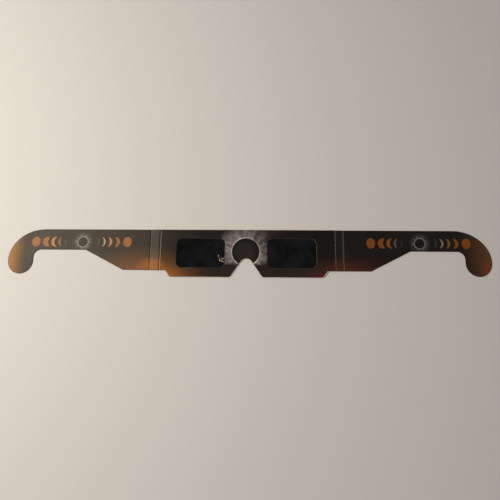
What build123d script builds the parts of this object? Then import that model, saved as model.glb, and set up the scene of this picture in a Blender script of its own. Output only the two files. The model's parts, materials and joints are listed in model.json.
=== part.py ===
from build123d import *
import os
from math import radians, sin, tan

# A card viewer for looking at the sun, unfolded and lying on its back with the printed face up.
# Millimetres. X runs along the arms, Y towards the straight top edge, Z up out of the card.
# The origin is on the resting plane, under the middle of the overall box. The printed blank is one
# sheet on the real object. Its stretches turn against each other at four scored creases, so each
# stretch is a solid of its own, and the beads that the scoring rule leaves are the knuckles.

# Thicknesses: two card plies with the filter film, and glue as thick as the film, between them
card = 0.45
film = 0.10

# Frame front
outer_crease = 76.6         # from the mid-plane to the crease that carries an arm, on both sides
right_strip = 6.4           # between the paired creases on the right
nest_step = 1.4             # the left strip is wider by this, so the folded arms lie one behind the other
frame_height = 37.9
shoulder_drop = 5.05        # the frame front hangs this far below the arm roots
shoulder_inset = 12.6       # from the outer crease to the top of the shoulder step
shoulder_run = 3.9          # the step slants inwards by this

# Windows
window_side = 21.1          # from the outer crease to the window
bridge = 33.8               # card left between the windows
window_drop = 7.0           # from the top edge down to the window
window_sill = 7.3           # card left below the window
window_corner = 4.6

# Nose notch: two slanted flanks and a round crown
notch_rise = 14.8
notch_crown = 5.4           # radius
notch_flank_angle = 34.2    # degrees from upright
notch_foot = 2.2            # radius where a flank meets the lower edge

# Arms
arm_length = 114.7          # from the outer crease to the tip of the ear hook
root_length = 21.1          # full-height stretch next to the crease
taper_length = 31.2
arm_height = 16.75
taper_round = 3.0
hook_reach = 28.7           # the hook's outer curve is a quarter ellipse, this long
hook_drop = 25.0            # and this deep
hook_width = 20.35
throat_round = 6.0          # inside corner between arm and hook
throat_straight = 3.25
hook_nose = 10.4            # depth of the rounded end below the throat

# Creases: the scoring rule presses a groove into the printed face and a bead out of the back
bead_swell = 0.11           # the bead stands this far out of the back
crease_clearance = 0.03     # between a bead and the hollow edge round it
groove_width = 0.9
groove_depth = 0.12

# Hidden ply, glue and film
liner_margin = 0.3          # the liner keeps this far inside the printed card
liner_setback = 1.2         # from the inner creases, so that the strips fold freely
liner_drift = 1.8           # the liner was laid off register and shows beside the right shoulder
glue_margin = 1.0           # further inside again
film_overlap = 3.0          # film held between the plies, all round the window
film_corner = 2.5
pocket_gap = 0.3            # bare card between the film and the glue round it

overrun = 5.0               # how far cutting tools reach past what they cut

left_strip = right_strip + nest_step
left_inner = outer_crease - left_strip
right_inner = outer_crease - right_strip
root_height = frame_height - shoulder_drop
window_width = outer_crease - window_side - bridge / 2
window_height = frame_height - window_drop - window_sill
window_x = (bridge + window_width) / 2
shoulder_top = outer_crease - shoulder_inset
shoulder_foot = shoulder_top - shoulder_run

top = frame_height / 2
bottom = -frame_height / 2
root = top - root_height
window_y = top - window_drop - window_height / 2

front_floor = card + film
card_middle = front_floor + card / 2
bead = card / 2 + bead_swell
hollow = bead + crease_clearance
groove = (groove_width**2 / 4 + groove_depth**2) / (2 * groove_depth)


def slab(outline, floor, thickness):
    """A flat piece cut to an outline, lying on the level called floor."""
    return Pos(0, 0, floor) * extrude(outline, thickness)


def frame_outline(left_end, right_end, margin, left_shift, right_shift):
    """One ply of the frame front, without windows or notch. The ends are given by their places, the
    other edges lie a margin inside the blank, and each shoulder is shifted outwards by its own amount."""
    return Polygon(
        (-left_end, top - margin),
        (-left_end, root + margin),
        (-shoulder_top - left_shift, root + margin),
        (-shoulder_foot - left_shift, bottom + margin),
        (shoulder_foot + right_shift, bottom + margin),
        (shoulder_top + right_shift, root + margin),
        (right_end, root + margin),
        (right_end, top - margin),
        align=None,
    )


def notch_outline(margin):
    """The nose notch grown by a margin: a wedge that runs past the lower edge, with a round crown."""
    angle = radians(notch_flank_angle)
    crown_middle = bottom + notch_rise - notch_crown
    peak = crown_middle + (notch_crown + margin) / sin(angle)
    base = bottom - overrun
    half = (peak - base) * tan(angle)
    wedge = Polygon((-half, base), (half, base), (0, peak), align=None)
    return fillet(wedge.vertices().sort_by(Axis.Y)[-1], notch_crown + margin)


def over_windows(grow, corner):
    """Both windows, grown all round."""
    pane = RectangleRounded(window_width + 2 * grow, window_height + 2 * grow, corner)
    return Pos(-window_x, window_y) * pane + Pos(window_x, window_y) * pane


def along_crease(radius, x, level):
    """A round cutting tool that lies along the crease at x."""
    tool = Cylinder(radius, root_height + 2 * overrun, rotation=(90, 0, 0))
    return Pos(x, top - root_height / 2, level) * tool


def score(x):
    """The shallow groove in the printed face, over the crease at x."""
    return along_crease(groove, x, front_floor + card - groove_depth + groove)


def crease_edge(x):
    """What an edge of the card loses beside the bead at x: a round hollow and its half of the groove."""
    return along_crease(hollow, x, card_middle) + score(x)


def front_panel():
    """Printed frame front with its windows and notch, and a hollow edge at each inner crease."""
    blank = frame_outline(left_inner, right_inner, 0, 0, 0) - notch_outline(0)
    feet = blank.vertices().group_by(Axis.Y)[0].sort_by(lambda v: abs(v.X))[:2]
    blank = fillet(feet, notch_foot) - over_windows(0, window_corner)
    return slab(blank, front_floor, card) - crease_edge(-left_inner) - crease_edge(right_inner)


def back_liner():
    """Plain second ply. It drifted to the right when it was glued, and shows there at the shoulder."""
    left_end = left_inner - liner_setback
    right_end = right_inner - liner_setback
    blank = frame_outline(left_end, right_end, liner_margin, -liner_margin, liner_drift)
    blank = blank - notch_outline(liner_margin)
    feet = blank.vertices().group_by(Axis.Y)[0].sort_by(lambda v: abs(v.X))[:2]
    blank = fillet(feet, notch_foot) - over_windows(liner_margin, window_corner + liner_margin)
    return slab(blank, 0, card)


def adhesive_layer():
    """Glue between the plies, open round both films."""
    margin = liner_margin + glue_margin
    left_end = left_inner - liner_setback - glue_margin
    right_end = right_inner - liner_setback - glue_margin
    blank = frame_outline(left_end, right_end, margin, -margin, -margin)
    blank = blank - notch_outline(margin)
    pockets = over_windows(film_overlap + pocket_gap, film_corner + pocket_gap)
    return slab(blank - pockets, card, film)


def filter_film(side):
    """One filter film, held all round between the plies."""
    pane = RectangleRounded(window_width + 2 * film_overlap, window_height + 2 * film_overlap, film_corner)
    return slab(Pos(side * window_x, window_y) * pane, card, film)


def crease_strip(side, width):
    """The strip between two creases. It carries the beads, which are round at the back and flush with
    the printed face but for the grooves over them."""
    section = Rectangle(width, card)
    for end in (-width / 2, width / 2):
        section = section + Pos(end, 0) * Circle(bead)
    section = section - Pos(0, card / 2 + overrun / 2) * Rectangle(width + overrun, overrun)
    strip = extrude(Plane.XZ * section, root_height / 2, both=True)
    strip = Pos(side * (outer_crease - width / 2), top - root_height / 2, card_middle) * strip
    return strip - score(side * outer_crease) - score(side * (outer_crease - width))


def temple_arm():
    """The right arm: a full-height root, a long taper, a narrow stretch and the ear hook."""
    tip = outer_crease + arm_length
    taper_foot = outer_crease + root_length
    taper_top = taper_foot + taper_length
    arm_edge = top - arm_height
    throat = tip - hook_width
    throat_level = arm_edge - throat_round
    nose_level = throat_level - throat_straight
    nose_middle = tip - hook_width / 2
    shoulder_level = top - hook_drop
    lowest = nose_level - hook_nose
    with BuildSketch() as outline:
        with BuildLine():
            Line((outer_crease, top), (tip - hook_reach, top))
            EllipticalCenterArc(
                (tip - hook_reach, shoulder_level), hook_reach, hook_drop, start_angle=90, arc_size=-90
            )
            EllipticalCenterArc(
                (nose_middle, shoulder_level),
                hook_width / 2,
                shoulder_level - lowest,
                start_angle=0,
                arc_size=-90,
            )
            EllipticalCenterArc(
                (nose_middle, nose_level), hook_width / 2, hook_nose, start_angle=270, arc_size=-90
            )
            Line((throat, nose_level), (throat, throat_level))
            CenterArc((throat - throat_round, throat_level), throat_round, 0, 90)
            Line((throat - throat_round, arm_edge), (taper_top, arm_edge))
            Line((taper_top, arm_edge), (taper_foot, root))
            Line((taper_foot, root), (outer_crease, root))
            Line((outer_crease, root), (outer_crease, top))
        make_face()
        fillet(outline.vertices().sort_by_distance((taper_top, arm_edge))[0], taper_round)
    return slab(outline.sketch, front_floor, card) - crease_edge(outer_crease)


def main():
    arm = temple_arm()
    nodes = {
        "front_panel": front_panel(),
        "back_liner": back_liner(),
        "adhesive_layer": adhesive_layer(),
        "left_filter_film": filter_film(-1),
        "right_filter_film": filter_film(1),
        "left_crease_strip": crease_strip(-1, left_strip),
        "right_crease_strip": crease_strip(1, right_strip),
        "left_temple_arm": mirror(arm, about=Plane.YZ),
        "right_temple_arm": arm,
    }
    os.makedirs("parts", exist_ok=True)
    for name, solid in nodes.items():
        export_step(solid, f"parts/{name}.step")
        print(f"{name}: {solid.volume:.2f} mm3")


main()
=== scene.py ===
# %% [markdown]
# Card glasses for looking at the sun, lying unfolded on a table with the printed face up.
# The real thing is one printed blank, die-cut from board. A plain second ply is glued behind its
# front, and two black films are held between the plies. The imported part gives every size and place,
# so the first step loads it, and all that follows is made on top of it.

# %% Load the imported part
import json
import math

import bmesh
import bpy
from mathutils import Matrix, Vector


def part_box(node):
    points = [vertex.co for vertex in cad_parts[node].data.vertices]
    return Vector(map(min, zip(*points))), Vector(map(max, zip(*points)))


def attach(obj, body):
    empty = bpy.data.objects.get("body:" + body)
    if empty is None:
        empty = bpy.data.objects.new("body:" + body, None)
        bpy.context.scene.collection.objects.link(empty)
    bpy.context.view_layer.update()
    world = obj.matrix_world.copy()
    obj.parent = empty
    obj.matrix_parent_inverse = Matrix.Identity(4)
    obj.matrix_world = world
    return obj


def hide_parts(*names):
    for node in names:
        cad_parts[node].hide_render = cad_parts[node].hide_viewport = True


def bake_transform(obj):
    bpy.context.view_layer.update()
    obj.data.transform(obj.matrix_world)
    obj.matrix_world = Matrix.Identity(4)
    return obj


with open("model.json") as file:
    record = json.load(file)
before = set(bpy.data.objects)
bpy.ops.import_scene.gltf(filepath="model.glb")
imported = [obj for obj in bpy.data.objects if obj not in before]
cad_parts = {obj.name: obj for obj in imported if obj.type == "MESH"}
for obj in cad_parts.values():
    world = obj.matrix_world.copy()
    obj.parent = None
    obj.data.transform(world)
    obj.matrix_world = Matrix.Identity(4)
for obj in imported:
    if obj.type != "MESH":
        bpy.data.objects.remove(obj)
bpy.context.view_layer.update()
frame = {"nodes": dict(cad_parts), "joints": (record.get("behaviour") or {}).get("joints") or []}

MM = 0.001
joints = {joint["name"]: joint for joint in frame["joints"]}
left_inner, left_outer, right_inner, right_outer = (
    joints[name]["pos_m"][0] / MM
    for name in ("left_inner_crease", "left_outer_crease", "right_inner_crease", "right_outer_crease")
)
print("creases at", left_outer, left_inner, right_inner, right_outer, "mm")

# %% [markdown]
# The levels of the sheets are read from the solids, so that nothing is typed twice: the table, the top
# of the second ply, the film, and the printed face. All lengths below are millimetres.

# %% Levels and edges of the sheets
panel_low, panel_high = (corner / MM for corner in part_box("front_panel"))
strip_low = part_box("left_crease_strip")[0] / MM
film_low, film_high = (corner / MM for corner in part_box("right_filter_film"))

printed_face = panel_high.z
card_back = panel_low.z
card = printed_face - card_back
card_middle = joints["left_inner_crease"]["pos_m"][2] / MM
top_edge = panel_high.y
root_edge = strip_low.y
root_middle = (top_edge + root_edge) / 2
root_height = top_edge - root_edge
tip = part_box("right_temple_arm")[1].x / MM
print(f"card {card:.2f} thick, from {card_back:.2f} up to {printed_face:.2f}; roots {root_height:.2f} high")

# %% [markdown]
# The camera comes first, because every finish is seen through it. The photograph looks straight down, but for
# a slight tilt: the lower edge and the right end are a little nearer than the rest.
# A camera that looks down with +Y at the top of its picture needs no turning at all in Blender, so
# the tilt, the swing and the roll are three small turns from there.

# %% Camera
photo_side = 500
px_per_mm = 1.2641
middle_px = (246.03, 253.18)
camera_distance = 341.0
camera_tilt = math.radians(11.6)
camera_swing = math.radians(1.76)
camera_roll = math.radians(0.69)
sensor = 36.0

turn = Matrix.Rotation(camera_swing, 4, "Y") @ Matrix.Rotation(camera_tilt, 4, "X")
turn = turn @ Matrix.Rotation(camera_roll, 4, "Z")
aside = (middle_px[0] - photo_side / 2) / px_per_mm
above = (photo_side / 2 - middle_px[1]) / px_per_mm
eye = Vector((0, 0, printed_face)) - turn.to_3x3() @ Vector((aside, above, -camera_distance))

bpy.ops.object.camera_add(location=eye * MM, rotation=turn.to_euler())
camera = bpy.context.active_object
camera.data.sensor_width = sensor
camera.data.lens = sensor * px_per_mm * camera_distance / photo_side
camera.data.clip_start = 0.01
camera.data.clip_end = 100
bpy.context.scene.camera = camera
print("camera at", [round(v, 1) for v in eye], "mm, lens", round(camera.data.lens, 2))

# %% [markdown]
# Nodes are added by one small function. It sets what belongs to the node, then its sockets: a socket
# or a node is linked, and anything else is set as the socket's own value. Only the sockets in use are
# counted, so a Mix node answers to plain numbers whatever it mixes.
# Colours are written as hex codes, as a picture editor gives them, and one function makes them linear.


# %% Helpers for materials
def srgb(code):
    """The linear colour of a hex code such as #c7bfb6."""
    parts = [int(code[i : i + 2], 16) / 255 for i in (1, 3, 5)]
    linear = [p / 12.92 if p <= 0.04045 else ((p + 0.055) / 1.055) ** 2.4 for p in parts]
    return (*linear, 1.0)


def add(tree, kind, links=None, **settings):
    """Adds one node with its settings, and links or sets the sockets that are in use."""
    node = tree.nodes.new(kind)
    for name, value in settings.items():
        setattr(node, name, value)
    for key, value in (links or {}).items():
        sockets = [s for s in node.inputs if s.enabled]
        socket = sockets[key] if isinstance(key, int) else next(s for s in sockets if s.name == key)
        if isinstance(value, bpy.types.Node):
            value = next(s for s in value.outputs if s.enabled)
        if isinstance(value, bpy.types.NodeSocket):
            tree.links.new(value, socket)
        else:
            socket.default_value = value
    return node


def new_material(name):
    """A material with an empty node tree."""
    material = bpy.data.materials.new(name)
    material.use_nodes = True
    material.node_tree.nodes.clear()
    return material


def coat(tree, finish):
    """Ends a material with its shader, given what each of the shader's sockets gets."""
    shader = add(tree, "ShaderNodeBsdfPrincipled", finish)
    add(tree, "ShaderNodeOutputMaterial", {"Surface": shader})


# %% [markdown]
# The table is a plain pale sheet. Far from the glasses the camera sees it fade into the pale backdrop,
# as on a studio sweep, so that no horizon crosses a picture taken from the side. Only the camera sees
# that, so the fade lights nothing.

# %% Table
table_width = 12.0           # metres, as are all sizes of the studio
table_colour = "#d5cfcb"
backdrop = "#d9d3cb"
fade_start = 0.29            # from the middle; the photograph ends before it
fade_end = 0.62

bpy.ops.mesh.primitive_plane_add(size=table_width)
table = bpy.context.active_object
table.name = "table"
paint = new_material("pale_painted_table")
tree = paint.node_tree
spot = add(tree, "ShaderNodeTexCoord").outputs["Object"]
away = add(tree, "ShaderNodeVectorMath", {0: spot}, operation="LENGTH")
far = add(
    tree,
    "ShaderNodeMapRange",
    {"Value": away, "From Min": fade_start, "From Max": fade_end},
    interpolation_type="SMOOTHSTEP",
)
direct = add(tree, "ShaderNodeLightPath").outputs["Is Camera Ray"]
faded = add(tree, "ShaderNodeMath", {0: far, 1: direct}, operation="MULTIPLY")
near_by = {"Base Color": srgb(table_colour), "Roughness": 0.6, "Specular IOR Level": 0.3}
painted = add(tree, "ShaderNodeBsdfPrincipled", near_by)
sweep = add(tree, "ShaderNodeEmission", {"Color": srgb(backdrop), "Strength": 1.0})
surface = add(tree, "ShaderNodeMixShader", {0: faded, 1: painted, 2: sweep})
add(tree, "ShaderNodeOutputMaterial", {"Surface": surface})
table.data.materials.append(paint)
print("table fades from", fade_start, "to", fade_end, "m")

# %% [markdown]
# The light is one large soft lamp at the upper left, like a window. It makes the card shine on the left
# and leaves the right end dark.

# %% Lamp
lamp_place = Vector((-0.70, 0.12, 0.52))
lamp_aim = Vector((-0.25, 0.0, 0.0))
lamp_size = 0.70
lamp_spread = 120            # degrees; a hood keeps the light off the table below the lamp
lamp_power = 4.3
lamp_colour = "#fff8ec"

bpy.ops.object.light_add(type="AREA", location=lamp_place)
lamp = bpy.context.active_object
lamp.name = "window_light"
lamp.rotation_euler = (lamp_aim - lamp_place).to_track_quat("-Z", "Y").to_euler()
lamp.data.shape = "SQUARE"
lamp.data.size = lamp_size
lamp.data.spread = math.radians(lamp_spread)
lamp.data.energy = lamp_power
lamp.data.color = srgb(lamp_colour)[:3]
print("lamp", lamp_power, "W,", round((lamp_place - lamp_aim).length, 2), "m away")

# %% [markdown]
# A dim room fills in the shadows. It is darker overhead than at the sides, and blotchy, because the
# glossy black films show little but what is above them.

# %% Room
room_side = 0.42
room_overhead = 0.09
room_turn = (0.55, 0.9)      # how steep a direction is where the sides end, and where overhead starts
room_colour = "#f4f5f7"
ceiling_blotch = 0.11
blotch_depth = 0.6

room = bpy.data.worlds.new("studio_room")
room.use_nodes = True
bpy.context.scene.world = room
tree = room.node_tree
tree.nodes.clear()
towards = add(tree, "ShaderNodeTexCoord").outputs["Generated"]
height = add(tree, "ShaderNodeSeparateXYZ", {"Vector": towards}).outputs["Z"]
level = add(
    tree,
    "ShaderNodeMapRange",
    {
        "Value": height,
        "From Min": room_turn[0],
        "From Max": room_turn[1],
        "To Min": room_side,
        "To Max": room_overhead,
    },
    interpolation_type="SMOOTHSTEP",
)
blotches = add(tree, "ShaderNodeTexNoise", {"Vector": towards, "Scale": 1 / ceiling_blotch, "Detail": 1.0})
uneven = add(
    tree,
    "ShaderNodeMapRange",
    {
        "Value": blotches.outputs[0],
        "From Min": 0.38,
        "From Max": 0.62,
        "To Min": 1 - blotch_depth,
        "To Max": 1 + blotch_depth,
    },
)
patchy = add(tree, "ShaderNodeMath", {0: level, 1: uneven}, operation="MULTIPLY")
dim = add(tree, "ShaderNodeBackground", {"Color": srgb(room_colour), "Strength": patchy})
seen = add(tree, "ShaderNodeBackground", {"Color": srgb(backdrop), "Strength": 1.0})
direct = add(tree, "ShaderNodeLightPath").outputs["Is Camera Ray"]
shown = add(tree, "ShaderNodeMixShader", {0: direct, 1: dim, 2: seen})
add(tree, "ShaderNodeOutputWorld", {"Surface": shown})
bpy.context.scene.view_settings.view_transform = "Standard"
print("room", room_side, "bright at the sides,", room_overhead, "overhead")

# %% [markdown]
# The printed board is solid bleached board, litho printed and varnished. Its face is nearly black, so
# what the eye sees is mostly the varnish. Its core is white where the die cut it, and its back is
# bare. One material draws all of it on every printed piece, so that the print runs on across the
# creases. It reads the place that each point has in the flat sheet, kept in an attribute, because the
# card beside a crease bends when an arm is folded, and the print has to bend with it.
#
# First the row of suns on each arm. Eclipse rows are drawn like a clock: full suns outside, thinner
# crescents towards the middle, and the corona between them. Both arms carry the same row, so the sheet
# is wrapped round, as a printing roller would do it, and one set of nodes draws both. The inks came out
# of the press redder and thinner on the right, so each has two tones.

# %% The row of suns
sun_radius = 4.1
full_squeeze = 1.2           # a full sun is this much higher than it is wide
ink_spread = 0.28            # how softly printed dots edge a disc
row_shift = 1.4              # the two rows sit this far right of the middle of the sheet
row_middle = 134.0
row_level = 8.6
gold_ink = ("#925a1e", "#7c4414")            # on the left arm, and on the right one
pale_gold_ink = ("#ab7847", "#7c4d26")
cream_ink = ("#b09678", "#8e7b6c")
full_suns = (-37.1, 37.2)
part_suns = (                # place of the sun, place and radius of the moon over it, ink and its strength
    (-27.5, -21.4, 6.0, gold_ink, 1.0),
    (-20.7, -17.3, 5.0, pale_gold_ink, 1.0),
    (-15.0, -11.2, 6.2, cream_ink, 0.36),
    (-9.5, -7.3, 5.5, cream_ink, 0.12),
    (10.4, 7.9, 5.5, cream_ink, 0.14),
    (15.4, 12.4, 5.7, cream_ink, 0.95),
    (20.8, 16.6, 6.3, pale_gold_ink, 1.0),
    (27.1, 22.4, 6.15, gold_ink, 1.0),
)


def row_place(tree, x, y):
    """The place in the row: along it from its middle, and across it. It is the same on both arms."""
    onwards = add(tree, "ShaderNodeMath", {0: x, 1: row_middle - row_shift}, operation="ADD")
    along = add(tree, "ShaderNodeMath", {0: onwards, 1: row_middle, 2: -row_middle}, operation="WRAP")
    across = add(tree, "ShaderNodeMath", {0: y, 1: row_level}, operation="SUBTRACT")
    return add(tree, "ShaderNodeCombineXYZ", {"X": along, "Y": across})


def disc(tree, place, middle, radius, strength=1.0):
    """How strongly a disc is inked at a place, with the soft edge that printed dots have."""
    off = add(tree, "ShaderNodeVectorMath", {0: place, 1: (middle, 0, 0)}, operation="DISTANCE")
    outer, inner = radius + ink_spread, radius - ink_spread
    return add(
        tree,
        "ShaderNodeMapRange",
        {"Value": off, "From Min": outer, "From Max": inner, "To Max": strength},
        interpolation_type="SMOOTHSTEP",
    )


def suns_in(tree, row, ink):
    """Where the suns of one ink lie in the row. The moon hides a part of all but the full ones."""
    inked = 0.0
    if ink == gold_ink:
        narrow = add(tree, "ShaderNodeVectorMath", {0: row, 1: (full_squeeze, 1, 1)}, operation="MULTIPLY")
        for along in full_suns:
            one = disc(tree, narrow, full_squeeze * along, sun_radius)
            inked = add(tree, "ShaderNodeMath", {0: inked, 1: one}, operation="MAXIMUM")
    for along, moon, moon_radius, sun_ink, strength in part_suns:
        if sun_ink == ink:
            one = disc(tree, row, along, sun_radius, strength)
            hidden = disc(tree, row, moon, moon_radius, strength)
            left = add(tree, "ShaderNodeMath", {0: one, 1: hidden}, operation="SUBTRACT")
            inked = add(tree, "ShaderNodeMath", {0: inked, 1: left}, operation="MAXIMUM")
    return inked


# %% [markdown]
# The corona is the glow round the hidden sun. It has a thin bright rim and a veil that fades outwards
# in streaks. The streaks follow the direction from the middle, so the noise is read on a unit circle:
# it changes round the disc and hardly at all along a ray.
#
# The values of a noise crowd round 0.5. The Map Range node after it says which of them count: taken
# from a narrow range they make hard patches, and from a wide one soft shading.

# %% Corona
small_corona = {
    "radius": 3.95,
    "rim": 0.6,              # how wide the bright rim is, and how bright
    "glare": 0.55,
    "reach": 5.0,            # how far out the veil goes, and how bright it starts
    "bright": 0.14,
    "streaks": 6.5,          # how fine the streaks are, and how much they stand out
    "depth": 0.9,
}
corona_shift = 1.1           # it sits this far right of the middle of its row
streak_waver = 0.08          # how much a streak changes along its ray


def corona(tree, place, radius, rim, glare, reach, bright, streaks, depth):
    """The light of a corona round a dark disc: its rim and its streaked veil together."""
    far = add(tree, "ShaderNodeVectorMath", {0: place}, operation="LENGTH")
    outside = add(tree, "ShaderNodeMath", {0: far, 1: radius}, operation="SUBTRACT")
    from_rim = add(tree, "ShaderNodeMath", {0: outside, 1: rim / 2}, operation="SUBTRACT")
    off_rim = add(tree, "ShaderNodeMath", {0: from_rim}, operation="ABSOLUTE")
    ring = add(
        tree,
        "ShaderNodeMapRange",
        {"Value": off_rim, "From Min": rim, "From Max": 0.0, "To Max": glare},
        interpolation_type="SMOOTHSTEP",
    )
    fading = add(
        tree,
        "ShaderNodeMapRange",
        {"Value": outside, "From Min": reach, "From Max": 0.0, "To Max": bright},
        interpolation_type="SMOOTHSTEP",
    )
    beyond = add(
        tree,
        "ShaderNodeMapRange",
        {"Value": outside, "From Min": 0.0, "From Max": ink_spread},
        interpolation_type="SMOOTHSTEP",
    )
    ray = add(tree, "ShaderNodeVectorMath", {0: place}, operation="NORMALIZE")
    round_disc = add(tree, "ShaderNodeVectorMath", {0: ray, "Scale": streaks}, operation="SCALE")
    drift = add(tree, "ShaderNodeVectorMath", {0: place, "Scale": streak_waver}, operation="SCALE")
    where = add(tree, "ShaderNodeVectorMath", {0: round_disc, 1: drift}, operation="ADD")
    noise = add(tree, "ShaderNodeTexNoise", {"Vector": where, "Scale": 1.0, "Detail": 3.0})
    streaked = add(
        tree,
        "ShaderNodeMapRange",
        {
            "Value": noise.outputs[0],
            "From Min": 0.38,
            "From Max": 0.62,
            "To Min": 1 - depth,
            "To Max": 1 + depth,
        },
    )
    veil = add(tree, "ShaderNodeMath", {0: fading, 1: streaked}, operation="MULTIPLY")
    masked = add(tree, "ShaderNodeMath", {0: veil, 1: beyond}, operation="MULTIPLY")
    return add(tree, "ShaderNodeMath", {0: masked, 1: ring}, operation="MAXIMUM")


# %% [markdown]
# The middle of the front carries the same figure, large, above the nose notch. Its veil is a patch of
# mottled grey that ends in a soft line below the windows. The disc is the dark side of the moon, with a
# trace of earthshine and no markings.

# %% The large corona over the nose
disc_middle = (-0.3, 1.15)
disc_radius = 11.0
nose_corona = {
    "radius": disc_radius,
    "rim": 0.85,
    "glare": 0.85,
    "reach": 15.0,
    "bright": 0.32,
    "streaks": 3.4,
    "depth": 0.5,
}
patch_middle = -1.2
patch_half = 20.5
patch_fade = 6.5             # at the sides
patch_foot = -8.6
patch_edge = 1.6             # at the foot, where it ends in a line
mottle_scale = 0.34          # blotches about 3 mm across
earthshine = 0.035           # the moon itself is just not black
shine_from = disc_radius - 0.8
shine_full = disc_radius / 2
streamer_edge = 0.2          # the cosine of the angle from its middle at which a streamer ends
streamers = (                # direction from the middle of the disc, how much brighter the corona is there
    ((-0.75, 0.66, 0.0), 1.45),
    ((0.62, -0.78, 0.0), 1.35),
    ((0.85, 0.53, 0.0), 0.7),
    ((-0.98, -0.2, 0.0), 0.85),
)


def large_corona(tree, place, x, y):
    """The large corona, kept inside its patch."""
    middle = (-disc_middle[0], -disc_middle[1], 0)
    centred = add(tree, "ShaderNodeVectorMath", {0: place, 1: middle}, operation="ADD")
    light = corona(tree, centred, **nose_corona)
    grain = {"Vector": place, "Scale": mottle_scale, "Detail": 5.0, "Roughness": 0.68}
    mottle = add(tree, "ShaderNodeTexNoise", grain)
    mottled = add(
        tree,
        "ShaderNodeMapRange",
        {"Value": mottle.outputs[0], "From Min": 0.36, "From Max": 0.64, "To Min": 0.5, "To Max": 1.3},
    )
    centred_x = add(tree, "ShaderNodeMath", {0: x, 1: patch_middle}, operation="SUBTRACT")
    aside = add(tree, "ShaderNodeMath", {0: centred_x}, operation="ABSOLUTE")
    across = add(
        tree,
        "ShaderNodeMapRange",
        {"Value": aside, "From Min": patch_half + patch_fade, "From Max": patch_half - patch_fade},
        interpolation_type="SMOOTHSTEP",
    )
    upwards = add(
        tree,
        "ShaderNodeMapRange",
        {"Value": y, "From Min": patch_foot - patch_edge, "From Max": patch_foot + patch_edge},
        interpolation_type="SMOOTHSTEP",
    )
    patch = add(tree, "ShaderNodeMath", {0: across, 1: upwards}, operation="MULTIPLY")
    ray = add(tree, "ShaderNodeVectorMath", {0: centred}, operation="NORMALIZE")
    for towards, gain in streamers:
        along = add(tree, "ShaderNodeVectorMath", {0: ray, 1: towards}, operation="DOT_PRODUCT")
        lobe = add(
            tree,
            "ShaderNodeMapRange",
            {"Value": along.outputs["Value"], "From Min": streamer_edge, "To Min": 1.0, "To Max": gain},
        )
        mottled = add(tree, "ShaderNodeMath", {0: mottled, 1: lobe}, operation="MULTIPLY")
    shaded = add(tree, "ShaderNodeMath", {0: light, 1: mottled}, operation="MULTIPLY")
    veil = add(tree, "ShaderNodeMath", {0: shaded, 1: patch}, operation="MULTIPLY")
    far = add(tree, "ShaderNodeVectorMath", {0: centred}, operation="LENGTH")
    inside = add(
        tree,
        "ShaderNodeMapRange",
        {"Value": far, "From Min": shine_from, "From Max": shine_full, "To Max": earthshine},
    )
    seas = add(tree, "ShaderNodeMath", {0: mottle.outputs[0], 1: inside}, operation="MULTIPLY")
    return add(tree, "ShaderNodeMath", {0: veil, 1: seas}, operation="MAXIMUM")


# %% [markdown]
# Behind the figures the black ink gives way to a fiery glow: up from the lower edge round the creases,
# and in from the end of each hook. It is golden on the left and a dull red on the right, and a faint
# brown haze lies above and below the large corona. Each glow is a smooth fade of a distance, squeezed
# so that it is wider than it is high. The inks lie one over the other, in the order of the list. Most
# hearts are off the card, so only the outer part of their fade is printed.

# %% Glows in the print
glows = (                    # x and y of the heart, where the fade ends and starts, ink
    (0.0, -24.0, 26.0, 9.0, "#271c1b"),
    (16.0, 21.0, 13.0, 1.0, "#2d1f20"),
    (-80.0, -26.0, 34.5, 10.3, "#6c4019"),
    (-72.0, -23.0, 17.0, 2.6, "#ac6305"),
    (-75.5, -10.5, 8.6, 0.5, "#935309"),
    (56.0, -25.5, 28.5, 0.5, "#372720"),
    (85.0, -26.0, 28.0, 0.5, "#521f16"),
    (75.0, -16.0, 11.5, 2.0, "#4a2415"),
    (59.5, -20.0, 4.6, 1.0, "#641212"),
    (215.0, -12.0, 20.3, 9.3, "#ff3d00"),
)
glow_squeeze = 1.75
hook_glows = (               # side, ink, how far in from the tip it reaches
    (-1, "#aa6f12", 15.5),
    (1, "#5b3822", 27.0),
)
hook_past = 4.0              # the ink would be full this far past the tip


def glow(tree, x, y, heart, end, start):
    """One glow round its heart."""
    aside = add(tree, "ShaderNodeMath", {0: x, 1: heart[0]}, operation="SUBTRACT")
    squeezed = add(tree, "ShaderNodeMath", {0: aside, 1: glow_squeeze}, operation="DIVIDE")
    up = add(tree, "ShaderNodeMath", {0: y, 1: heart[1]}, operation="SUBTRACT")
    away = add(tree, "ShaderNodeCombineXYZ", {"X": squeezed, "Y": up})
    far = add(tree, "ShaderNodeVectorMath", {0: away}, operation="LENGTH")
    return add(
        tree,
        "ShaderNodeMapRange",
        {"Value": far, "From Min": end, "From Max": start},
        interpolation_type="SMOOTHSTEP",
    )


def hook_glow(tree, x, side, reach):
    """One glow in from the end of a hook, the same all the way down."""
    return add(
        tree,
        "ShaderNodeMapRange",
        {"Value": x, "From Min": side * (tip - reach), "From Max": side * (tip + hook_past)},
        interpolation_type="SMOOTHSTEP",
    )


# %% [markdown]
# A folded viewer rubs on its creases: along each crease the ink has cracked in flecks that show the white
# core, and the strip between a pair is painted a little lighter grey. Both are kept to narrow bands beside
# the crease lines, and noise breaks them up. The cracks are drawn coarser than real ones, which are finer
# than a picture of this size shows.

# %% Wear along the creases
strip_lightening = 0.02
lightening_edge = 0.6               # the lighter grey fades in over this much of a strip
crack_band = 0.55            # flecks lie this near to a crease
crack_core = 0.1
left_flaked = 0.22           # how far the ink has gone where it cracks, in each pair
right_flaked = 0.17
crack_grain = 1.3            # along the crease from one fleck to the next
fleck_squeeze = (2.2, 1.0, 1.0)


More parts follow.
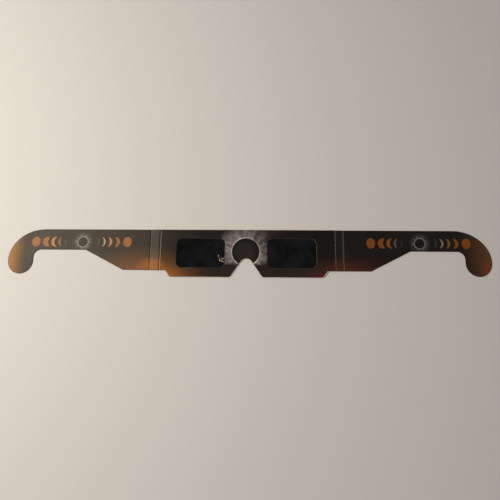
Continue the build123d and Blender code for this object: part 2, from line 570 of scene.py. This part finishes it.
def crease_wear(tree, place, x):
    """How much lighter grey the strips are painted, and how much ink has cracked away at the creases."""
    lightened, cracked = 0.0, 0.0
    for low, high, flaked in (
        (left_outer, left_inner, left_flaked),
        (right_inner, right_outer, right_flaked),
    ):
        off_middle = add(tree, "ShaderNodeMath", {0: x, 1: (low + high) / 2}, operation="SUBTRACT")
        off = add(tree, "ShaderNodeMath", {0: off_middle}, operation="ABSOLUTE")
        half = (high - low) / 2
        band = add(
            tree,
            "ShaderNodeMapRange",
            {"Value": off, "From Min": half, "From Max": half - lightening_edge, "To Max": strip_lightening},
        )
        off_crease = add(tree, "ShaderNodeMath", {0: off, 1: half}, operation="SUBTRACT")
        beside = add(tree, "ShaderNodeMath", {0: off_crease}, operation="ABSOLUTE")
        line = add(
            tree,
            "ShaderNodeMapRange",
            {"Value": beside, "From Min": crack_band, "From Max": crack_core, "To Max": flaked},
        )
        lightened = add(tree, "ShaderNodeMath", {0: lightened, 1: band}, operation="ADD")
        cracked = add(tree, "ShaderNodeMath", {0: cracked, 1: line}, operation="ADD")
    stretched = add(tree, "ShaderNodeVectorMath", {0: place, 1: fleck_squeeze}, operation="MULTIPLY")
    grain = {"Vector": stretched, "Scale": 1 / crack_grain, "Detail": 4.0, "Roughness": 0.7}
    flecks = add(tree, "ShaderNodeTexNoise", grain)
    fleck = add(tree, "ShaderNodeMapRange", {"Value": flecks.outputs[0], "From Min": 0.44, "From Max": 0.66})
    broken = add(tree, "ShaderNodeMath", {0: cracked, 1: fleck}, operation="MULTIPLY")
    return lightened, broken


# %% [markdown]
# Now the inks come together, one over the other in the order of a press: black, the glows, the coronas and
# the suns. Then the strips are painted a little lighter grey, painted shade darkens the crushed edges and the
# grooves, and where the ink has cracked the white core of the board shows through.

# %% Inks, wear and painted shade
ink_black = "#12100f"
ring_ink = ("#c6bbb9", "#a59d9c")      # of the small coronas, on the left arm and on the right one
veil_ink = "#c8bcb9"
strip_grey = "#8c857c"
# painted shade: the crushed edges and the grooves are painted this dark brown
edge_shade_brown = "#120e0c"
edge_shade_share = 0.65
core_white = "#cfc9bf"


def row_inks(tree, x, y):
    """The inks of the two rows, each with its share. Their tone drifts from the left arm to the right."""
    row = row_place(tree, x, y)
    middle = add(tree, "ShaderNodeVectorMath", {0: row, 1: (corona_shift, 0, 0)}, operation="SUBTRACT")
    drift = add(tree, "ShaderNodeMapRange", {"Value": x, "From Min": left_inner, "From Max": right_inner})
    inks = []
    for ink in (ring_ink, gold_ink, pale_gold_ink, cream_ink):
        tone = add(tree, "ShaderNodeMix", {0: drift, 1: srgb(ink[0]), 2: srgb(ink[1])}, data_type="RGBA")
        share = corona(tree, middle, **small_corona) if ink == ring_ink else suns_in(tree, row, ink)
        inks.append((tone, share))
    return inks


def printed_ink(tree, flat, x, y, crushed):
    """The colour of the inks, one over the other, and where they have cracked away."""
    inks = []
    for heart_x, heart_y, end, start, ink in glows:
        inks.append((srgb(ink), glow(tree, x, y, (heart_x, heart_y), end, start)))
    for side, ink, reach in hook_glows:
        inks.append((srgb(ink), hook_glow(tree, x, side, reach)))
    inks.append((srgb(veil_ink), large_corona(tree, flat, x, y)))
    inks += row_inks(tree, x, y)
    lightened, broken = crease_wear(tree, flat, x)
    # painted shade on the crushed edges and in the grooves
    edge_shaded = add(tree, "ShaderNodeMath", {0: crushed, 1: edge_shade_share}, operation="MULTIPLY")
    inks.append((srgb(strip_grey), lightened))
    inks.append((srgb(edge_shade_brown), edge_shaded))
    inks.append((srgb(core_white), broken))
    colour = srgb(ink_black)
    for ink, share in inks:
        colour = add(tree, "ShaderNodeMix", {0: share, 1: colour, 2: ink}, data_type="RGBA")
    return colour, broken


# %% [markdown]
# The level of a point in the sheet says whether it is face, cut edge or back. The varnish on the face
# is semi-gloss, with the faint orange peel of a roller coat, and duller where the arms are handled.
# Where the card is crushed, along its edges and in the grooves, the varnish is broken and has gone dull
# there, and its ink is painted darker: painted shade. The bare board is matt and fibrous. Its fibres are
# drawn 0.3 mm wide, about three times the real ones, which would be too fine to show.

# %% Varnished printed board
back_white = "#d4d0c8"
sheen_tint = "#ffead4"
front_roughness = 0.31
left_arm_roughness = 0.52
right_arm_roughness = 0.38
crushed_roughness = 0.72
board_roughness = 0.85
rough_spots = 0.03           # the roughness is this uneven, in spots 14 mm across
spot_grain = 14.0
fibre = 0.3
fibre_rise = 0.006
fibre_tone = (0.88, 1.04)    # between fibres, and on them
peel = 1.4
peel_rise = 0.004
crushed_from = printed_face - 0.02       # below this level the varnish breaks
crushed_to = printed_face - 0.12         # and from here down it is all dull, and painted dark as painted shade
ink_floor = card_back + 0.35 * card      # the ink is crushed over the edge down to here
ink_fray = 0.04
back_from = card_back + 0.03             # the board is core from here up, and back from the next level down
back_to = card_back + 0.01


def printed_board():
    """Varnished print on the face, white core at the cut edges, bare board at the back."""
    material = new_material("varnished_printed_board")
    tree = material.node_tree
    place = add(tree, "ShaderNodeAttribute", attribute_name="sheet_mm").outputs["Vector"]
    x, y, z = add(tree, "ShaderNodeSeparateXYZ", {"Vector": place}).outputs
    flat = add(tree, "ShaderNodeCombineXYZ", {"X": x, "Y": y})
    crushed = add(tree, "ShaderNodeMapRange", {"Value": z, "From Min": crushed_from, "From Max": crushed_to})
    colour, broken = printed_ink(tree, flat, x, y, crushed)

    edge = {"Value": z, "From Min": ink_floor - ink_fray, "From Max": ink_floor}
    facing = add(tree, "ShaderNodeMapRange", edge)
    is_back = add(tree, "ShaderNodeMapRange", {"Value": z, "From Min": back_from, "From Max": back_to})
    bare = add(
        tree,
        "ShaderNodeMix",
        {0: is_back, 1: srgb(core_white), 2: srgb(back_white)},
        data_type="RGBA",
    )
    grain = {"Vector": place, "Scale": 1 / fibre, "Detail": 4.0, "Roughness": 0.6}
    fibres = add(tree, "ShaderNodeTexNoise", grain)
    tone = add(
        tree,
        "ShaderNodeMapRange",
        {
            "Value": fibres.outputs[0],
            "From Min": 0.25,
            "From Max": 0.75,
            "To Min": fibre_tone[0],
            "To Max": fibre_tone[1],
        },
    )
    pulp = add(tree, "ShaderNodeVectorMath", {0: bare, "Scale": tone}, operation="SCALE")
    paint = add(tree, "ShaderNodeMix", {0: facing, 1: pulp, 2: colour}, data_type="RGBA")

    handled = front_roughness
    for inner, outer, roughness in (
        (left_inner, left_outer, left_arm_roughness),
        (right_inner, right_outer, right_arm_roughness),
    ):
        handled = add(
            tree,
            "ShaderNodeMapRange",
            {"Value": x, "From Min": inner, "From Max": outer, "To Min": handled, "To Max": roughness},
        )
    patchy = add(tree, "ShaderNodeTexNoise", {"Vector": flat, "Scale": 1 / spot_grain, "Detail": 3.0})
    uneven = add(
        tree,
        "ShaderNodeMapRange",
        {
            "Value": patchy.outputs[0],
            "From Min": 0.3,
            "From Max": 0.7,
            "To Min": -rough_spots,
            "To Max": rough_spots,
        },
    )
    sound = add(tree, "ShaderNodeMath", {0: handled, 1: uneven}, operation="ADD")
    varnish = add(tree, "ShaderNodeMix", {0: crushed, 1: sound, 2: crushed_roughness}, data_type="FLOAT")
    intact = add(tree, "ShaderNodeMath", {0: 1.0, 1: broken}, operation="SUBTRACT")
    covered = add(tree, "ShaderNodeMath", {0: facing, 1: intact}, operation="MULTIPLY")
    roughness = add(tree, "ShaderNodeMix", {0: covered, 1: board_roughness, 2: varnish}, data_type="FLOAT")

    orange_peel = add(tree, "ShaderNodeTexNoise", {"Vector": place, "Scale": 1 / peel, "Detail": 1.0})
    fibrous = add(
        tree, "ShaderNodeBump", {"Height": fibres.outputs[0], "Distance": fibre_rise * MM, "Strength": 0.6}
    )
    surface = add(
        tree,
        "ShaderNodeBump",
        {"Height": orange_peel.outputs[0], "Distance": peel_rise * MM, "Strength": 1.0, "Normal": fibrous},
    )
    finish = {"Base Color": paint, "Roughness": roughness, "Normal": surface}
    finish["Specular Tint"] = srgb(sheen_tint)
    coat(tree, finish)
    return material


board = printed_board()
print(board.name, "has", len(board.node_tree.nodes), "nodes")

# %% [markdown]
# The second ply is greyish recycled board without any coat: rough and fibrous, with dark specks of old print
# in it. Its rim was crushed by the die too, and is painted dark: a painted shadow along the cut edge.

# %% Liner board
liner_colour = "#d8cec3"
liner_speck = "#6f685f"
liner_rim_shadow = "#352f2a"
liner_tone = (0.86, 1.08)    # between fibres, and on them
speck_spacing = 2.0          # from one speck to the next
speck_edge = (0.12, 0.05)    # share of the spacing where a speck ends, and where it is full
rim_shadow_below = (0.45, 0.40)   # the rim is painted dark from here down, a painted shadow
unshadowed_below = (0.25, 0.10)   # and not painted near the table


def object_place(tree):
    """The place of each point in millimetres, for pieces that ride on one body."""
    metres = add(tree, "ShaderNodeTexCoord").outputs["Object"]
    return add(tree, "ShaderNodeVectorMath", {0: metres, "Scale": 1 / MM}, operation="SCALE")


def liner_finish():
    """Uncoated greyboard: pulp fibres, a few dark specks, and a rim painted dark as painted shadow."""
    material = new_material("uncoated_recycled_greyboard")
    tree = material.node_tree
    place = object_place(tree)
    grain = {"Vector": place, "Scale": 1 / fibre, "Detail": 5.0, "Roughness": 0.65}
    fibres = add(tree, "ShaderNodeTexNoise", grain)
    tone = add(
        tree,
        "ShaderNodeMapRange",
        {
            "Value": fibres.outputs[0],
            "From Min": 0.25,
            "From Max": 0.75,
            "To Min": liner_tone[0],
            "To Max": liner_tone[1],
        },
    )
    pulp = add(tree, "ShaderNodeVectorMath", {0: srgb(liner_colour)[:3], "Scale": tone}, operation="SCALE")
    specks = add(tree, "ShaderNodeTexVoronoi", {"Vector": place, "Scale": 1 / speck_spacing})
    dark = add(
        tree,
        "ShaderNodeMapRange",
        {"Value": specks.outputs["Distance"], "From Min": speck_edge[0], "From Max": speck_edge[1]},
    )
    colour = add(tree, "ShaderNodeMix", {0: dark, 1: pulp, 2: srgb(liner_speck)}, data_type="RGBA")
    height = add(tree, "ShaderNodeSeparateXYZ", {"Vector": place}).outputs["Z"]
    # painted shadow: the crushed rim is painted dark, but not right by the table
    crushed = {"Value": height, "From Min": rim_shadow_below[0], "From Max": rim_shadow_below[1]}
    low = add(tree, "ShaderNodeMapRange", crushed)
    off_table = {"Value": height, "From Min": unshadowed_below[1], "From Max": unshadowed_below[0]}
    above = add(tree, "ShaderNodeMapRange", off_table)
    rim = add(tree, "ShaderNodeMath", {0: low, 1: above}, operation="MULTIPLY")
    colour = add(tree, "ShaderNodeMix", {0: rim, 1: colour, 2: srgb(liner_rim_shadow)}, data_type="RGBA")
    pulp_rise = {"Height": fibres.outputs[0], "Distance": 2 * fibre_rise * MM, "Strength": 0.8}
    rise = add(tree, "ShaderNodeBump", pulp_rise)
    coat(tree, {"Base Color": colour, "Roughness": board_roughness, "Normal": rise})
    return material


greyboard = liner_finish()
print(greyboard.name, "has", len(greyboard.node_tree.nodes), "nodes")

# %% [markdown]
# The film is black polymer, as smooth as glass, with the grease of fingers on it. In places its black is
# painted a little lighter: a painted reflection. Where the film is crumpled it has stretched and is golden in
# the dent. Along the crests of the ridges, which are found by their height, it is painted pale: a painted
# highlight.

# %% Solar film
film_black = "#0a0909"
film_reflection_tint = "#0f1110"
reflection_grain = 13.0
film_gold = "#7d6026"
film_crest_highlight = "#968f84"
highlight_levels = (0.66, 0.78)    # a ridge's crest is painted pale between these levels, a painted highlight
highlight_reach = (9.0, 7.5)     # and only this near to the crumple
crumple_middle = (-18.9, -4.9, 0.0)
crumple_reach = 2.5
crumple_core = 0.4
crumple_scale = 0.9          # its golden patches are about 1 mm across
film_smear = (0.07, 0.16)    # roughness of clean film, and of greasy film
grease_grain = 9.0


def film_finish():
    """Black solar film, smooth and a little greasy, golden where it is crumpled, with a painted reflection
    and a painted highlight on the crests of the crumple.
    """
    material = new_material("black_polymer_solar_film")
    tree = material.node_tree
    place = object_place(tree)
    # painted reflection: patches of the black film are painted a little lighter
    thin = add(tree, "ShaderNodeTexNoise", {"Vector": place, "Scale": 1 / reflection_grain, "Detail": 0.0})
    reflecting = add(tree, "ShaderNodeMapRange", {"Value": thin.outputs[0], "From Min": 0.47, "From Max": 0.55})
    base = add(tree, "ShaderNodeMix", {0: reflecting, 1: srgb(film_black), 2: srgb(film_reflection_tint)}, data_type="RGBA")

    away = add(tree, "ShaderNodeVectorMath", {0: place, 1: crumple_middle}, operation="DISTANCE")
    near = add(
        tree,
        "ShaderNodeMapRange",
        {"Value": away, "From Min": crumple_reach, "From Max": crumple_core},
        interpolation_type="SMOOTHSTEP",
    )
    ragged = add(tree, "ShaderNodeTexNoise", {"Vector": place, "Scale": crumple_scale, "Detail": 3.0})
    patches = add(tree, "ShaderNodeMapRange", {"Value": ragged.outputs[0], "From Min": 0.42, "From Max": 0.6})
    stretched = add(tree, "ShaderNodeMath", {0: near, 1: patches}, operation="MULTIPLY")
    colour = add(tree, "ShaderNodeMix", {0: stretched, 1: base, 2: srgb(film_gold)}, data_type="RGBA")

    # painted highlight: the crests of the ridges near the crumple are painted pale
    height = add(tree, "ShaderNodeSeparateXYZ", {"Vector": place}).outputs["Z"]
    crest = {"Value": height, "From Min": highlight_levels[0], "From Max": highlight_levels[1]}
    creased = add(tree, "ShaderNodeMapRange", crest)
    around = {"Value": away, "From Min": highlight_reach[0], "From Max": highlight_reach[1]}
    beside = add(tree, "ShaderNodeMapRange", around)
    pale = add(tree, "ShaderNodeMath", {0: creased, 1: beside}, operation="MULTIPLY")
    colour = add(tree, "ShaderNodeMix", {0: pale, 1: colour, 2: srgb(film_crest_highlight)}, data_type="RGBA")

    grease = add(tree, "ShaderNodeTexNoise", {"Vector": place, "Scale": 1 / grease_grain, "Detail": 2.0})
    smear = add(
        tree,
        "ShaderNodeMapRange",
        {
            "Value": grease.outputs[0],
            "From Min": 0.45,
            "From Max": 0.7,
            "To Min": film_smear[0],
            "To Max": film_smear[1],
        },
    )
    coat(tree, {"Base Color": colour, "Roughness": smear})
    return material


solar_film = film_finish()
print(solar_film.name, "has", len(solar_film.node_tree.nodes), "nodes")

# %% [markdown]
# The glue between the plies is seen only as a line in the cut edge. It has dried milky and uneven, and
# lets a little light in. Its solid has the right shape, so that piece keeps it and gets a new finish.

# %% Glue
glue_colour = "#dcd6c4"
glue_grain = 3.0
glue_tone = (0.75, 1.1)
glue_depth = 0.3             # how far light goes into it


def glue_finish():
    """Dried laminating glue: milky, uneven and half matt."""
    material = new_material("dried_laminating_glue")
    tree = material.node_tree
    place = object_place(tree)
    flow = add(tree, "ShaderNodeTexNoise", {"Vector": place, "Scale": 1 / glue_grain, "Detail": 4.0})
    dried = {"Value": flow.outputs[0], "To Min": glue_tone[0], "To Max": glue_tone[1]}
    tone = add(tree, "ShaderNodeMapRange", dried)
    colour = add(tree, "ShaderNodeVectorMath", {0: srgb(glue_colour)[:3], "Scale": tone}, operation="SCALE")
    milky = {"Subsurface Weight": 0.2, "Subsurface Scale": glue_depth * MM}
    coat(tree, {"Base Color": colour, "Roughness": 0.5, **milky})
    return material


glue = glue_finish()
glue_sheet = frame["nodes"]["adhesive_layer"]
glue_sheet.data.materials.clear()
glue_sheet.data.materials.append(glue)
print(glue.name, "has", len(glue.node_tree.nodes), "nodes")

# %% [markdown]
# Now the pieces. Each card piece starts as a copy of its solid, which already has the right outline.
# The copy is welded, because the solid's mesh is loose triangles, and its flat faces are made whole.
# The helpers do what the hand does in Blender: take up one piece, pick some of its parts, cut it across,
# smooth it, and at the end give it its finish and its body, and hide the solid it stands for.

# %% Helpers for modelling
weld_distance = 0.001
flat_within = 0.5            # degrees; faces that differ less are one face


def take_up(piece):
    """Makes one piece the only selected one, and the active one."""
    bpy.ops.object.select_all(action="DESELECT")
    piece.select_set(True)
    bpy.context.view_layer.objects.active = piece


def pick(kind, test):
    """In edit mode, selects the points, edges or faces that pass a test, and nothing else."""
    mesh = bpy.context.active_object.data
    bpy.ops.mesh.select_mode(type=kind)
    bpy.ops.mesh.select_all(action="DESELECT")
    shape = bmesh.from_edit_mesh(mesh)
    parts = {"VERT": shape.verts, "EDGE": shape.edges, "FACE": shape.faces}[kind]
    for part in parts:
        part.select = test(part)
    shape.select_flush_mode()
    bmesh.update_edit_mesh(mesh)


def copy_of(node, name):
    """A welded copy of a solid, in its place, left in edit mode."""
    piece = bpy.data.objects.new(name, frame["nodes"][node].data.copy())
    bpy.context.collection.objects.link(piece)
    piece.data.materials.clear()
    take_up(piece)
    bpy.ops.mesh.customdata_custom_splitnormals_clear()
    bpy.ops.object.mode_set(mode="EDIT")
    bpy.ops.mesh.select_all(action="SELECT")
    bpy.ops.mesh.remove_doubles(threshold=weld_distance * MM)
    bpy.ops.mesh.dissolve_limited(angle_limit=math.radians(flat_within))
    return piece


def cut(axis, place, clear_below=False, clear_above=False):
    """Cuts the piece across at a place on one axis, and can drop what lies to either side."""
    point, normal = Vector(), Vector()
    point[axis], normal[axis] = place * MM, 1
    bpy.ops.mesh.select_all(action="SELECT")
    bpy.ops.mesh.bisect(
        plane_co=point,
        plane_no=normal,
        use_fill=clear_below or clear_above,
        clear_inner=clear_below,
        clear_outer=clear_above,
    )


def smooth(piece, angle=35):
    """Smooths the shading, and keeps the broad flat faces flat by weighting the normals."""
    bpy.ops.object.mode_set(mode="OBJECT")
    take_up(piece)
    bpy.ops.object.shade_smooth_by_angle(angle=math.radians(angle))
    weigh = piece.modifiers.new("weigh", "WEIGHTED_NORMAL")
    weigh.keep_sharp = True
    bpy.ops.object.modifier_apply(modifier=weigh.name)


def dress(piece, finish, body, node):
    """Gives a finished piece its material and its body, and hides the solid that it stands for."""
    piece.data.materials.append(finish)
    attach(piece, body)
    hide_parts(node)
    print(piece.name, len(piece.data.polygons), "faces")


# %% [markdown]
# A die cuts the blank by crushing it, so a cut edge is not square: a narrow margin of the face is
# pressed down, and the very edge is rounded. That margin turns away from the lamp, which gives the
# card its dark outline. It is made by an inset, by lowering the rim of it, and by a small bevel.
# The margin stops at the creases, where the card was scored and not cut.

# %% Crushed rim
rim_width = 0.50
rim_drop = 0.18
rim_round = 0.06
level_slack = 0.004


def on_face(z, face=printed_face):
    """Whether a height in metres is the level of the printed face, or of another one."""
    return abs(z / MM - face) < level_slack


def is_wall(face):
    """Whether a face is a cut edge of the card."""
    return abs(face.normal.z) < 0.3


def crush_rim(face=printed_face):
    """Presses the margin of the face down along every cut edge of the piece in edit mode."""
    pick("FACE", lambda f: f.normal.z > 0.999 and on_face(f.calc_center_median().z, face))
    bpy.ops.mesh.inset(thickness=rim_width * MM, use_boundary=True, use_even_offset=True)
    pick("VERT", lambda v: on_face(v.co.z, face) and any(is_wall(f) for f in v.link_faces))
    bpy.ops.transform.translate(value=(0, 0, -rim_drop * MM))
    pick(
        "EDGE",
        lambda e: len(e.link_faces) == 2
        and any(is_wall(f) for f in e.link_faces)
        and any(f.normal.z > 0.9 for f in e.link_faces)
        and min(v.co.z for v in e.verts) / MM > face - card / 2,
    )
    bpy.ops.mesh.bevel(offset=rim_round * MM, segments=2, affect="EDGES")


# %% [markdown]
# The sheet's own coordinates are stored before anything bends, so that the print lies where the press
# laid it. Then the single card beyond the front is let down: the doubled front holds it half a
# millimetre up, so each strip slopes down from its inner crease, and the arm comes to rest on the table.

# %% Sheet coordinates, sloping strips and resting arms
strip_fall = 0.42
arm_sag = 0.09
sag_start = 92.0             # the arm sags from here to its tip, and is cut across at each step
sag_step = 7.0


def mark_sheet(piece):
    """Stores where each point lies in the flat sheet, in millimetres."""
    bpy.ops.object.mode_set(mode="OBJECT")
    stored = piece.data.attributes.new("sheet_mm", "FLOAT_VECTOR", "POINT")
    for point, value in zip(piece.data.vertices, stored.data):
        value.vector = point.co / MM


def share_between(value, low, high):
    """How far a value has come from low to high, kept from 0 to 1."""
    return min(max((value - low) / (high - low), 0.0), 1.0)


def let_down(piece):
    """Lowers each point by the slope of the strip and the sag of the arm at its place."""
    for point in piece.data.vertices:
        x = point.co.x / MM
        inner, outer = (left_inner, left_outer) if x < 0 else (right_inner, right_outer)
        slope = strip_fall * share_between(abs(x), abs(inner), abs(outer))
        share = share_between(abs(x), sag_start, tip)
        sag = arm_sag * share * share * (3 - 2 * share)
        point.co.z -= (slope + sag) * MM


# %% [markdown]
# The front, the strips and the arms are cut a little short of each crease. A separate strip
# of bending card fills each crease, so the pieces meet it edge to edge.

# %% Front, strips and arms
fold_half = 0.75

panel = copy_of("front_panel", "panel_card")
crush_rim()
cut(0, left_inner + fold_half, clear_below=True)
cut(0, right_inner - fold_half, clear_above=True)
mark_sheet(panel)
smooth(panel)
dress(panel, board, "frame", "front_panel")

for name, side, low, high in (
    ("left", -1, left_outer, left_inner),
    ("right", 1, right_inner, right_outer),
):
    strip = copy_of(f"{name}_crease_strip", f"{name}_strip_card")
    crush_rim()
    cut(0, low + fold_half, clear_below=True)
    cut(0, high - fold_half, clear_above=True)
    mark_sheet(strip)
    let_down(strip)
    smooth(strip)
    dress(strip, board, f"{name}_strip", f"{name}_crease_strip")

    arm = copy_of(f"{name}_temple_arm", f"{name}_arm_card")
    crush_rim()
    root = (low if side < 0 else high) + side * fold_half
    cut(0, root, clear_below=side > 0, clear_above=side < 0)
    for i in range(int((tip - sag_start) / sag_step)):
        cut(0, side * (sag_start + i * sag_step))
    mark_sheet(arm)
    let_down(arm)
    smooth(arm)
    dress(arm, board, f"{name}_arm", f"{name}_temple_arm")

# %% [markdown]
# A crease is scored before it is folded: a blunt rule presses a groove into the face, and the board
# swells into a bead on the back. Here each crease is a narrow bar of card, cut lengthwise so that its
# middle line can be pushed down, in front for the groove and behind for the bead. Bevels round both.

# %% Scored bars
groove_half = 0.65
groove_depth = 0.24
bead_half = 0.30
bead_swell = card_back - strip_low.z
score_round = 0.2
crease_cuts = 90             # cuts across, so that the cracks have points enough


def crease_bar(name, x):
    """A bar of scored card along the crease at x."""
    bpy.ops.object.select_all(action="DESELECT")
    bpy.ops.mesh.primitive_cube_add(
        size=MM,
        location=(x * MM, root_middle * MM, card_middle * MM),
        scale=(2 * fold_half, root_height, card),
    )
    bar = bpy.context.active_object
    bar.name = name
    bpy.ops.object.transform_apply(location=True, rotation=True, scale=True)
    bpy.ops.object.mode_set(mode="EDIT")
    for offset in (-groove_half, -bead_half, 0, bead_half, groove_half):
        cut(0, x + offset)
    for end in (top_edge - rim_width, root_edge + rim_width):
        cut(1, end)
    score(x)
    round_ends()
    for i in range(1, crease_cuts):
        cut(1, root_edge + rim_width + (root_height - 2 * rim_width) * i / crease_cuts)
    return bar


def score(x):
    """Presses the groove and the bead along the middle line of the bar, and rounds them."""
    middle = lambda v: abs(v.co.x / MM - x) < level_slack
    pick("VERT", lambda v: middle(v) and on_face(v.co.z))
    bpy.ops.transform.translate(value=(0, 0, -groove_depth * MM))
    pick("EDGE", lambda e: all(middle(v) and v.co.z / MM > card_middle for v in e.verts))
    bpy.ops.mesh.bevel(offset=score_round * MM, segments=4, affect="EDGES")
    pick("VERT", lambda v: middle(v) and v.co.z / MM < card_middle)
    bpy.ops.transform.translate(value=(0, 0, -bead_swell * MM))
    pick("EDGE", lambda e: all(middle(v) and v.co.z / MM < card_middle for v in e.verts))
    bpy.ops.mesh.bevel(offset=score_round * MM, segments=5, affect="EDGES")


def round_ends():
    """Gives both ends of the bar the crushed rim of the pieces beside it."""
    ends = (top_edge, root_edge)
    at_end = lambda v: any(abs(v.co.y / MM - end) < level_slack for end in ends)
    pick("VERT", lambda v: at_end(v) and v.co.z / MM > card_middle)
    bpy.ops.transform.translate(value=(0, 0, -rim_drop * MM))
    pick("EDGE", lambda e: all(at_end(v) and v.co.z / MM > card_middle for v in e.verts))
    bpy.ops.mesh.bevel(offset=rim_round * MM, segments=2, affect="EDGES")


# %% [markdown]
# The cracked ink leaves the groove rough. A Displace modifier digs into it with a noise, through a group of
# points that fades out at the sides. Then the bars are placed.

# %% Creases
crack_depth = 0.05
crack_size = 1.1
crack_reach = 0.95           # share of the bar that cracks; its sides stay whole


def crack(bar, x):
    """Roughens the groove with a noise that fades out at its sides."""
    bpy.ops.object.mode_set(mode="OBJECT")
    group = bar.vertex_groups.new(name="groove")
    for point in bar.data.vertices:
        off = abs(point.co.x / MM - x) / fold_half
        on_top = point.co.z / MM > card_middle - strip_fall and point.normal.z > 0
        if on_top and off < crack_reach:
            group.add([point.index], 1 - off, "REPLACE")
    noise = bpy.data.textures.new("cracks", "CLOUDS")
    noise.noise_scale = crack_size * MM
    noise.noise_depth = 3
    lift = bar.modifiers.new("cracks", "DISPLACE")
    lift.texture = noise
    lift.vertex_group = "groove"
    lift.direction = "Z"
    lift.mid_level = 1.0     # it only digs, so nothing rises over the face
    lift.strength = crack_depth * MM
    take_up(bar)
    bpy.ops.object.modifier_apply(modifier=lift.name)
    bar.vertex_groups.clear()


creases = (                  # name, place, body towards the middle, body towards the tip
    ("left_inner_crease", left_inner, "frame", "left_strip"),
    ("left_outer_crease", left_outer, "left_strip", "left_arm"),
    ("right_inner_crease", right_inner, "frame", "right_strip"),
    ("right_outer_crease", right_outer, "right_strip", "right_arm"),
)
for name, x, inward, outward in creases:
    bar = crease_bar(f"{name}_card", x)
    mark_sheet(bar)
    let_down(bar)
    crack(bar, x)
    smooth(bar, angle=60)
    bar.data.materials.append(board)
    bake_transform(bar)
    print(bar.name, len(bar.data.polygons), "faces")

# %% [markdown]
# The films are held flat between the plies, but in the windows they are free and lie in shallow waves.
# The left one was dented once, and has kept a crumple in its lower corner. A film starts as a copy of
# its solid, cut into a grid, and is then pushed up and down with proportional editing, which moves all
# that lies near the picked points, a little less the further away it is. Film has no grain to catch a
# fold, so its ridges run smoothly, and a few rounds of smoothing take the steps of the grid off them.

# %% Films
film_grid = 1.6
push_reach = 0.75 * film_grid      # points this near to a swell's middle are picked
film_middle = {-1: -(film_low.x + film_high.x) / 2, 1: (film_low.x + film_high.x) / 2}
swells = {                   # across and up from the film's middle, reach and lift
    -1: ((-9.0, 2.0, 9.0, 0.16), (5.0, 4.5, 7.0, -0.12), (-3.0, -4.5, 7.0, -0.10), (9.0, 1.0, 7.0, 0.05)),
    1: ((-8.0, 4.6, 7.0, 0.15), (6.0, 4.8, 7.0, 0.15), (0.0, -3.0, 9.0, -0.15), (10.0, -4.0, 7.0, 0.10)),
}
ridges = (                   # from, to, reach and lift
    ((-22.6, 1.8), (-21.7, -2.0), 0.8, 0.13),
    ((-21.7, -2.0), (-20.3, -6.2), 0.8, 0.19),
    ((-20.3, -6.2), (-17.3, -7.2), 0.9, 0.29),
    ((-19.3, -5.2), (-18.4, -3.4), 1.0, -0.24),
)
ridge_half = 0.16            # points this near to a ridge's line are picked
ridge_round = 0.9            # and the smoothing reaches this far
fine_reach = 7.25            # the grid is made finer this far round the crumple
fine_cuts = 7


def off_line(point, start, end):
    """How far a point lies from the line between two places, or from one, seen from above."""
    a, b = Vector(start), Vector(end)
    p = Vector((point.co.x, point.co.y)) / MM
    if start == end:
        return (p - a).length
    share = min(max((p - a).dot(b - a) / (b - a).length_squared, 0.0), 1.0)
    return (p - a - (b - a) * share).length


def push(test, reach, lift, falloff):
    """Moves the picked points up, and takes what is near along."""
    pick("VERT", test)
    bpy.ops.transform.translate(
        value=(0, 0, lift * MM),
        use_proportional_edit=True,
        proportional_edit_falloff=falloff,
        proportional_size=reach * MM,
    )


def film_pane(name, side):
    """One film with its waves, and on the left its crumple."""
    pane = copy_of(f"{name}_filter_film", f"{name}_film_pane")
    low, high = (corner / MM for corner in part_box(f"{name}_filter_film"))
    for axis in (0, 1):
        for i in range(1, int((high[axis] - low[axis]) / film_grid)):
            cut(axis, low[axis] + i * film_grid)
    for x, y, reach, lift in swells[side]:
        centre = (film_middle[side] + x, y)
        push(lambda v: off_line(v, centre, centre) < push_reach, reach, lift, "SMOOTH")
    if side < 0:
        spot = Vector(crumple_middle)
        pick("FACE", lambda f: (f.calc_center_median() / MM - spot).xy.length < fine_reach)
        bpy.ops.mesh.subdivide(number_cuts=fine_cuts)
        for start, end, reach, lift in ridges:
            push(lambda v: off_line(v, start, end) < ridge_half, reach, lift, "SHARP")
        pick("VERT", lambda v: any(off_line(v, start, end) < ridge_round for start, end, _, _ in ridges))
        bpy.ops.mesh.vertices_smooth(factor=0.5, repeat=3)
    smooth(pane, angle=75)
    dress(pane, solar_film, "frame", f"{name}_filter_film")
    heights = [v.co.z / MM for v in pane.data.vertices]
    print("from", round(min(heights), 2), "to", round(max(heights), 2), "mm high")


film_pane("left", -1)
film_pane("right", 1)

# %% [markdown]
# The second ply is nearly hidden. It shows as a pale sliver beside the right shoulder, where it was
# glued a little off its place. Its rim is crushed as the printed one is.

# %% Second ply
liner_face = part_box("back_liner")[1].z / MM

liner = copy_of("back_liner", "liner_board")
crush_rim(liner_face)
smooth(liner)
dress(liner, greyboard, "frame", "back_liner")
